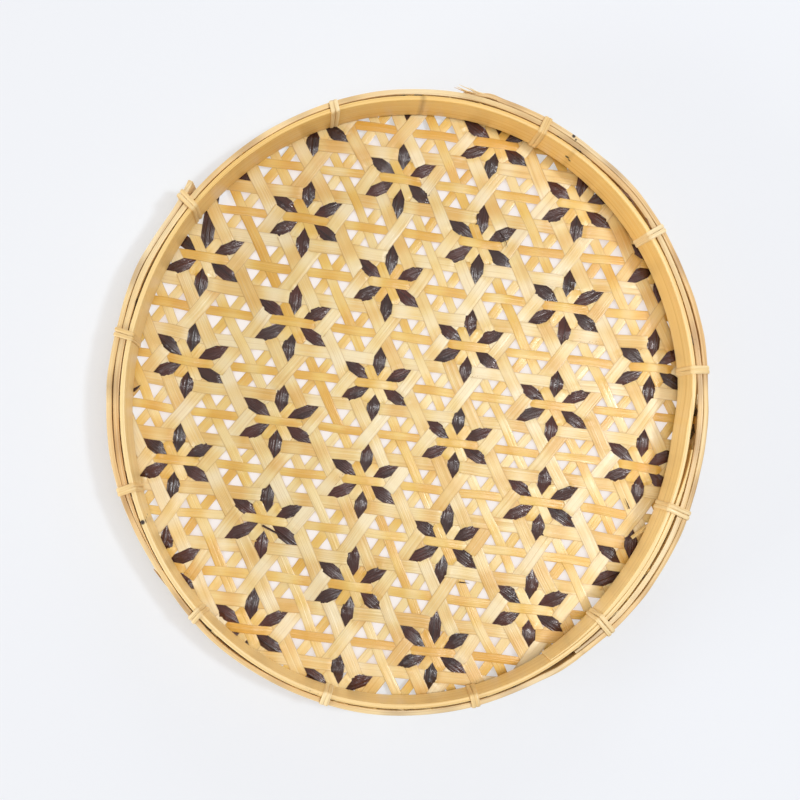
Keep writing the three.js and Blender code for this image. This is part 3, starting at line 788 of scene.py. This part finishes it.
def splitOff(node):
    # slivers lying on the weave
    slivers = []
    for *plan, width in stripShape["slivers"].get(node, ()):
        spine = turnUp(np.array(plan, float), weaveTop + np.array(stripShape["sliverLift"]))
        slivers.append(makeSliver(node + "_sliver", spine, width))
    return slivers


def makeRun(node, run, finish, slot, *alsoReplaced):
    parts = [makeStrip(strip, node + "_part") for strip in run]
    piece = joinPieces(node, parts + splitOff(node))
    finishPiece(piece, materials[finish], slot, node, *alsoReplaced)


def makeWeave():
    for strip in strips:
        if strip["kind"] == "base":
            makeRun(strip["node"], [strip], "base", "base_bamboo", "turned_up_edge")
    for kind, ways, finish, slot in (("inlay", stripWays, "inlay", "inlay_bamboo"),
                                     ("flower", flowerWays, "dark", "dark_bamboo")):
        for wayName in ways:
            run = [strip for strip in strips if (strip["kind"], strip["way"]) == (kind, wayName)]
            makeRun(kind + "_strips_" + wayName, run, finish, slot)


makeWeave()
print("weave made")


# Hoops: angles in degrees, shares of the full thickness, and waves as reach and lengths (degrees)

innerHoop = {
    "start": 297.6, "lap": 52, "thickness": 2.3, "inset": 6.45, "clearance": 0.1, "margin": 2, "change": 14,
    "shavedStart": 24, "shavedEnd": 16, "thinnest": 0.3, "rounding": (0.45, 3), "topWander": 0.35,
    "wander": (0.12, (120, 60, 36)),  # whole waves to a turn
    "nodes": (57, 88, 205), "nodeMark": (0.45, 0.22),
    "paleness": -0.5, "toneWave": (0.3, (190, 77, 120)),
    "darkerStretch": (72, 48, 0.95),  # a stretch near the top given a darker, browner tone: angle, spread, change
}
outerHoop = {
    "aThickness": 2.75, "bThickness": 2.85, "clearance": 0.25, "inside": 5.7, "rounding": (1.0, 4),
    "aStart": 135.8, "aEnd": 440.5, "bStart": 302.5, "bSpan": 272, "topWander": 0.4,
    "bFirst": 0.45, "bLost": 0.9, "shavedStart": 12, "shavedEnd": 22,  # how B's ends are shaved
    "climb": 9,  # how far before B's start A begins to move out over it
    "clearFrom": 0.25,  # the share of B's thickness from which A lies clear of it
    "spring": 3.4, "springSpan": 7,  # A's first end stands off
    "wander": (0.12, (120, 45, 30)), "unevenness": (0.2, (24, 12, 7.5)), "bodyWander": (0.08, (90, 40, 18)),
    # where a layer stands off the next: angle, opening and spread
    "outerGaps": ((17, 0.6, 9), (75.3, 0.8, 1.6), (160, 0.3, 5), (181, 0.5, 10), (322, 0.35, 8)),
    "innerGaps": ((40, 1.1, 9), (77, 0.4, 6), (95, 0.4, 5), (155, 0.7, 8), (232, 0.6, 7), (296, 0.4, 4),
                  (332, 0.8, 10)),
    "nodes": (303.5, 178), "nodeMark": (0.6, 0.25),
    "edgeDarkening": (0.4, 0.1), "patchWave": (1.2, (60, 23, 11)), "toneWave": (0.8, (150, 67, 29)),
}
band = {
    "step": 0.8, "columns": 9, "topLengths": (110, 43, 23), "footLengths": (97, 51), "topRoom": 0.5,
    "footRoom": 0.3, "tipDrop": 3, "tipWidth": 6,
}
# what is split off splint A: fibres at its frayed end, a tongue on its outside and fibres lying in the gap
fray = {
    "span": 3, "thinning": 0.45, "fibres": 9, "root": (1.5, 5), "tip": (-1.5, 2), "inset": (0.2, 1.6),
    "drop": (0.6, 3), "lift": (-0.3, 2), "bowed": 0.8, "out": (0.3, 2.2), "width": (0.4, 1),
    "tone": (-0.3, 0.5),
}
tongue = {"root": 221, "tip": 213.6, "off": (-0.1, 0.85, 1.7), "heights": (20, 21, 22.5),
          "look": (9, 0.5, 0.3)}  # width, tone, mark
# the fibres lying in the gap take the mark colour in full: painted shade of the dark gap they lie in
looseFibres = {"places": ((47, 42, 6.4, 4.9), (44.5, 40.2, 4.8, 6.3), (38, 35.5, 4.7, 6)),  # angles, insets
               "heights": (-0.8, 0.8, -0.4), "look": (0.7, 0.5, 1.0)}
hoopWander = wave(*innerHoop["wander"])
splintWander = wave(*outerHoop["wander"])
unevenA = wave(*outerHoop["unevenness"])
bodyA, bodyB = (wave(*outerHoop["bodyWander"]) for _ in range(2))
fullBody = 1 - outerHoop["bodyWander"][0]
spanA = outerHoop["aEnd"] - outerHoop["aStart"]


def ridge(angle, at, reach):
    return np.exp(-(((angle - at + 180) % 360 - 180) / reach) ** 2)


def opening(angle, gaps):
    return sum(width * ridge(angle, at, reach) for at, width, reach in gaps)


def nodeRings(angle, hoop):
    strength, reach = hoop["nodeMark"]
    return strength * sum(ridge(angle, at, reach) for at in hoop["nodes"])


def innerHoopBody(travel):
    # both lapped ends are shaved thin
    stop = 360 + innerHoop["lap"]
    ends = smoothStep(travel, 0, innerHoop["shavedStart"])
    ends = ends * smoothStep(travel, stop, stop - innerHoop["shavedEnd"])
    return innerHoop["thinnest"] + (1 - innerHoop["thinnest"]) * ends


def innerHoopInset(travel):
    lapped = innerHoop["inset"] + innerHoop["thickness"] + innerHoop["clearance"]
    clear = innerHoop["lap"] + innerHoop["margin"]
    moved = smoothStep(travel, clear, clear + innerHoop["change"])
    return lapped + (innerHoop["inset"] - lapped) * moved + hoopWander(innerHoop["start"] + travel)


def splintABody(travel):
    thinned = fray["thinning"] * smoothStep(travel, spanA - 2 * fray["span"], spanA)
    return (fullBody + bodyA(travel)) * (1 - thinned)


def splintBBody(travel):
    # shaved at both ends
    first, stop = outerHoop["bFirst"], outerHoop["bSpan"]
    grown = first + (1 - first) * smoothStep(travel, 0, outerHoop["shavedStart"])
    lost = outerHoop["bLost"] * smoothStep(travel, stop - outerHoop["shavedEnd"], stop)
    return (fullBody + bodyB(travel)) * (grown - lost)


def splintBInset(travel):
    angle = outerHoop["bStart"] + np.asarray(travel, float)
    inset = outerHoop["inside"] - outerHoop["bThickness"] * splintBBody(travel)
    return inset + splintWander(angle) - opening(angle, outerHoop["innerGaps"])


def splintAInset(travel):
    # outside splint B where there is one; the first end springs away
    angle = outerHoop["aStart"] + np.asarray(travel, float)
    onB = (angle - outerHoop["bStart"]) % 360
    body = np.where(onB <= outerHoop["bSpan"], splintBBody(onB), 0)
    body = np.maximum(body, outerHoop["bFirst"] * smoothStep(onB, 360 - outerHoop["climb"], 360))
    spring = outerHoop["spring"] * np.clip(1 - travel / outerHoop["springSpan"], 0, 1) ** 2
    apart = (outerHoop["clearance"] + unevenA(angle)) * np.minimum(body / outerHoop["clearFrom"], 1)
    inset = outerHoop["inside"] - body * outerHoop["bThickness"] - apart
    inset = inset - outerHoop["aThickness"] * splintABody(travel) - spring
    gaps = opening(angle, outerHoop["outerGaps"]) + opening(angle, outerHoop["innerGaps"])
    return inset + splintWander(angle) - gaps


def makeBand(node, hoop, thickness, high, start, span, insetAt, bodyAt, tonesAt, taper=0):
    # a band round the rim between two angles, its inset, thickness and tones given by functions
    travel = np.linspace(0, span, math.ceil(span / band["step"]) + 1)
    share = np.linspace(0, 1, band["columns"])
    top, foot = (wave(hoop["topWander"], band[lengths]) for lengths in ("topLengths", "footLengths"))
    angle = start + travel
    body = bodyAt(travel)
    plan = rimPoint(angle, insetAt(travel) + body * thickness / 2)
    length = lengthAlong(plan)
    topLine = high - band["topRoom"] + top(angle)
    lowLine = hoopLow + band["footRoom"] + foot(angle)
    if taper:  # the end narrows to a few fibres
        close = smoothStep(travel, span - taper, span)
        topLine = topLine - band["tipDrop"] * close
        lowLine = lowLine + (topLine - band["tipWidth"] - lowLine) * close
    z = lowLine[:, None] + share[None, :] * (topLine - lowLine)[:, None]
    points = raised(np.broadcast_to(plan[:, None, :], z.shape + (2,)), z)
    tone, mark = tonesAt(angle, share)
    piece = addSheet(node, points, (length[:, None], z), np.round(body, 2),
                     tone=tone[:, None], mark=mark, turn=angle[:, None])
    thicken(piece, thickness, *hoop["rounding"])
    unroll(piece)
    return piece


def innerHoopTones(angle, _):
    # rings at the nodes, and one browner stretch
    at, reach, change = innerHoop["darkerStretch"]
    tone = wave(*innerHoop["toneWave"])(angle) + innerHoop["paleness"] + change * ridge(angle, at, reach)
    return tone, nodeRings(angle, innerHoop)[:, None]


def splintTones(angle, share):
    # dark patches along the edges, and rings at the nodes
    darkest, edge = outerHoop["edgeDarkening"]
    edges = darkest * np.maximum(smoothStep(share, 1 - edge, 1), smoothStep(share, edge, 0))
    patches = np.clip(wave(*outerHoop["patchWave"])(angle), 0, 1)[:, None] * edges[None, :]
    tone = wave(*outerHoop["toneWave"])(angle)
    return tone, np.maximum(patches, nodeRings(angle, outerHoop)[:, None])


def makeInnerHoop():
    node = "inner_hoop"
    piece = makeBand(node, innerHoop, innerHoop["thickness"], hoopHigh, innerHoop["start"],
                     360 + innerHoop["lap"], innerHoopInset, innerHoopBody, innerHoopTones)
    finishPiece(piece, materials["hoop"], "hoop_bamboo", node)


def rimSpine(root, tip, insets, heights):
    # three points round the rim, from a root's angle to a tip's
    angles = np.array([root, (root + tip) / 2, tip])
    return raised(rimPoint(angles, np.array(insets)), np.array(heights))


def splitOffA(name):
    slivers = []
    start, end = outerHoop["aStart"], outerHoop["aEnd"]
    for _ in range(fray["fibres"]):
        root = end - draw.uniform(*fray["root"])
        tip = end + draw.uniform(*fray["tip"])
        inset = splintAInset(root - start) + draw.uniform(*fray["inset"])
        height = splintHigh - draw.uniform(*fray["drop"])
        lift = draw.uniform(*fray["lift"])
        insets = (inset, inset, inset - draw.uniform(*fray["out"]))
        spine = rimSpine(root, tip, insets, (height, height + fray["bowed"] * lift, height + lift))
        width = draw.uniform(*fray["width"])
        slivers.append(makeSliver(name, spine, width, draw.normal(*fray["tone"])))
    root, tip = tongue["root"], tongue["tip"]
    insets = splintAInset(np.array([root, (root + tip) / 2, tip]) - start) - np.array(tongue["off"])
    spine = rimSpine(root, tip, insets, tongue["heights"])
    slivers.append(makeSliver(name, spine, *tongue["look"], standing=True))
    for root, tip, fromInset, toInset in looseFibres["places"]:
        heights = splintHigh + np.array(looseFibres["heights"])
        spine = rimSpine(root, tip, (fromInset, fromInset, toInset), heights)
        slivers.append(makeSliver(name, spine, *looseFibres["look"]))
    return slivers


def makeSplints():
    runs = {"a": (outerHoop["aStart"], spanA, splintAInset, splintABody, fray["span"]),
            "b": (outerHoop["bStart"], outerHoop["bSpan"], splintBInset, splintBBody, 0)}
    for letter, (start, span, insetAt, bodyAt, taper) in runs.items():
        node = "outer_hoop_splint_" + letter
        piece = makeBand(node, outerHoop, outerHoop[letter + "Thickness"], splintHigh, start, span,
                         insetAt, bodyAt, splintTones, taper)
        if letter == "a":
            piece = joinPieces(node, [piece] + splitOffA(node + "_sliver"))
        finishPiece(piece, materials["splint"], "splint_bamboo", node)


makeInnerHoop()
makeSplints()
print("hoops made")


# Bindings

binding = {
    "angles": (5.6, 34.2, 64.1, 105.1, 138.9, 167.8, 198.1, 225.3, 253.8, 281.6, 310.2, 337),
    "turns": 2, "width": 2.1, "thickness": 0.4, "spacing": (0.02, 0.3), "clearance": 0.05,
    "corner": 1.4, "cornerSteps": 7, "cornerShare": 2.1,  # a corner takes less than half of a side
    "crown": 0.3, "columns": (-1, -0.8, -0.4, 0, 0.4, 0.8, 1), "rounding": (0.15, 2),
    "step": 0.7, "reach": 1.5, "reachSteps": 5,  # hoops are felt for so far (degrees) to each side
    "slant": 0.6, "wander": (0.2, (0.6, 0.31)), "toneSpread": 0.4,
}


def boundInsets(angle):
    # outermost and innermost face of the hoops near an angle
    spots = angle + np.linspace(-binding["reach"], binding["reach"], binding["reachSteps"])
    travelA = (spots - outerHoop["aStart"]) % 360
    outer = splintBInset((spots - outerHoop["bStart"]) % 360)
    outer = np.minimum(outer, np.where(travelA <= spanA, splintAInset(travelA), outer)).min()
    travel = (spots - innerHoop["start"]) % 360
    inner = (innerHoopInset(travel) + innerHoopBody(travel) * innerHoop["thickness"]).max()
    return outer, inner


def roundLoop(corners):
    # a closed loop through corners, each rounded, as evenly spaced points
    corners = [np.array(corner, float) for corner in corners]
    points = []
    for i, corner in enumerate(corners):
        toBefore = corners[i - 1] - corner
        toAfter = corners[(i + 1) % len(corners)] - corner
        longest = min(np.linalg.norm(toBefore), np.linalg.norm(toAfter)) / binding["cornerShare"]
        cut = min(binding["corner"], longest)
        first, last = corner + unit(toBefore) * cut, corner + unit(toAfter) * cut
        for share in np.linspace(0, 1, binding["cornerSteps"]):
            points.append(bow(first, corner, last, share))
    points = np.array(points + points[:1])
    length = lengthAlong(points)
    even = np.linspace(0, length[-1], math.ceil(length[-1] / binding["step"]) + 1)
    return np.stack([np.interp(even, length, points[:, k]) for k in (0, 1)], 1)


def makeBinding(name, angle):
    outer, inner = boundInsets(angle)
    off = binding["clearance"] + binding["thickness"] / 2
    out, back = outer - off, inner + off
    low, high, shoulder = hoopLow - off, hoopHigh + off, splintHigh + off
    loop = roundLoop([((out + back) / 2, low), (out, low), (out, shoulder), (innerHoop["inset"], high),
                      (back, high), (back, low)])
    path = np.concatenate([loop[:-1]] * binding["turns"] + [loop[:1]])
    advance = binding["turns"] * (binding["width"] + draw.uniform(*binding["spacing"]))
    share = np.linspace(-0.5, 0.5, len(path))
    tangent = unit(rimPoint(angle + 1, 0) - rimPoint(angle - 1, 0))
    slant = draw.uniform(-binding["slant"], binding["slant"])
    wander = wave(*binding["wander"])
    sideways = advance * share + slant * (path[:, 0] - out) / (back - out) + wander(share)
    plan = rimPoint(angle, path[:, 0]) + sideways[:, None] * tangent
    spine = raised(plan, path[:, 1])
    side = -np.append(tangent, 0)
    face = unit(np.cross(unit(np.gradient(spine, axis=0)), side))
    across = np.array(binding["columns"])
    half = binding["width"] / 2
    crown = binding["crown"] * (1 - across ** 2)
    points = (spine[:, None, :] + half * across[None, :, None] * side
              + crown[None, :, None] * face[:, None, :])
    length = np.arange(len(spine)) * binding["step"] + draw.uniform(0, grainShift)
    tone = draw.normal(0, binding["toneSpread"])
    piece = addSheet(name, points, (length[:, None], half * across), tone=tone, mark=0.0)
    thicken(piece, binding["thickness"], *binding["rounding"])
    finishPiece(piece, materials["rattan"], "rattan", name)


for number, angle in enumerate(binding["angles"], 1):
    makeBinding("binding_%02d" % number, angle)
print("bindings made")


# Floor, light and camera

studio = {
    "floor": "#e1f0ff", "floorSize": 6, "floorDrop": 0.1,  # size in m, drop in mm
    "backdrop": "#f1f4f9", "sky": 0.41, "skyColour": (0.985, 0.985, 0.985, 1),
    "evenFloor": "#fdf2eb", "evenness": 0.5,  # what the camera sees of the floor without shadow
    "underPlate": 0.9, "edge": (0.138, 0.146),  # more so under the weave, out to the hoops
    "fade": (0.4, 1.6),  # and more again far off, where the floor meets the backdrop
    "shade": "#d3b39a", "shadeReach": 0.008, "shaded": (0.5, 0.1),  # warm shade close beneath the strips
    "lights": {  # place (m), size (m), power (W), colour
        "overhead": ((0.31, -0.02, 1.5), (0.4, 0.5), 4.6, (0.98, 0.99, 1.0)),
        "rightKey": ((0.68, 0.03, 1.5), (0.16, 0.16), 9.2, (0.97, 0.985, 1.0)),
        "leftFill": ((-1.45, -0.5, 0.34), (0.8, 0.4), 14, (1.0, 0.98, 0.94)),
        "farFill": ((0.2, 1.4, 0.5), (0.8, 0.5), 5, (1.0, 0.98, 0.94)),
    },
}
view = {"aim": (-6.9, -1.4, 30), "distance": 563, "tilt": 5, "towards": 225, "lens": 51, "sensor": 36}


def seenRays(tree):
    # camera, mirror and see-through rays meet the plain backdrop, all others the studio's own light
    rays = addNode(tree, "ShaderNodeLightPath").outputs
    straight = reckon(tree, "MAXIMUM", rays["Is Camera Ray"], rays["Is Glossy Ray"])
    return reckon(tree, "MAXIMUM", straight, rays["Is Transmission Ray"])


def makeFloor():
    deselectAll()
    bpy.ops.mesh.primitive_plane_add(size=studio["floorSize"], location=(0, 0, 0))
    floor = bpy.context.object
    floor.name = "floor"
    floor.data.transform(Matrix.Translation((0, 0, -studio["floorDrop"] * mm)))
    material = bpy.data.materials.new("paleFloor")
    tree = freshTree(material)
    lit = addNode(tree, "ShaderNodeBsdfDiffuse", {"Color": linearColour(studio["floor"])}).outputs[0]
    spot = addNode(tree, "ShaderNodeTexCoord").outputs["Object"]
    away = addNode(tree, "ShaderNodeVectorMath", {0: spot}, operation="LENGTH").outputs["Value"]
    far = spread(tree, away, *studio["fade"])
    near = spread(tree, away, *studio["edge"], studio["underPlate"], studio["evenness"])
    colour = blendColour(tree, far, linearColour(studio["evenFloor"]), linearColour(studio["backdrop"]))
    openness = addNode(tree, "ShaderNodeAmbientOcclusion", {"Distance": studio["shadeReach"]}).outputs["AO"]
    beneath = spread(tree, away, *studio["edge"], 1, 0)
    shaded = reckon(tree, "MULTIPLY", beneath, spread(tree, openness, *studio["shaded"]))
    colour = blendColour(tree, shaded, colour, linearColour(studio["shade"]))
    even = addNode(tree, "ShaderNodeEmission", {"Color": colour, "Strength": 1}).outputs[0]
    share = reckon(tree, "MULTIPLY", seenRays(tree), reckon(tree, "MAXIMUM", near, far))
    both = addNode(tree, "ShaderNodeMixShader", {0: share, 1: lit, 2: even}).outputs[0]
    addNode(tree, "ShaderNodeOutputMaterial", {"Surface": both})
    floor.data.materials.append(material)


def makeLight():
    world = bpy.data.worlds.new("softSky")
    bpy.context.scene.world = world
    tree = freshTree(world)
    inputs = {"Color": studio["skyColour"], "Strength": studio["sky"]}
    sky = addNode(tree, "ShaderNodeBackground", inputs).outputs[0]
    inputs = {"Color": linearColour(studio["backdrop"]), "Strength": 1}
    backdrop = addNode(tree, "ShaderNodeBackground", inputs).outputs[0]
    both = addNode(tree, "ShaderNodeMixShader", {0: seenRays(tree), 1: sky, 2: backdrop}).outputs[0]
    addNode(tree, "ShaderNodeOutputWorld", {"Surface": both})
    for name, (place, size, power, colour) in studio["lights"].items():
        deselectAll()
        bpy.ops.object.light_add(type="AREA", location=place)
        lamp = bpy.context.object
        lamp.name = name
        lamp.data.shape = "RECTANGLE"
        lamp.data.size, lamp.data.size_y = size
        lamp.data.energy = power
        lamp.data.color = colour
        lamp.rotation_euler = Vector(place).to_track_quat("Z", "Y").to_euler()


def makeCamera():
    tilt, turn = math.radians(view["tilt"]), math.radians(view["towards"])
    back = Vector((math.sin(tilt) * math.cos(turn), math.sin(tilt) * math.sin(turn), math.cos(tilt)))
    place = (Vector(view["aim"]) + back * view["distance"]) * mm
    right = Vector((0, 1, 0)).cross(back).normalized()
    up = back.cross(right)
    deselectAll()
    bpy.ops.object.camera_add(location=place)
    camera = bpy.context.object
    camera.rotation_euler = Matrix((right, up, back)).transposed().to_euler()
    camera.data.lens = view["lens"]
    camera.data.sensor_width = view["sensor"]
    bpy.context.scene.camera = camera


makeFloor()
makeLight()
makeCamera()
bpy.context.scene.view_settings.view_transform = "Standard"
print("stage made")
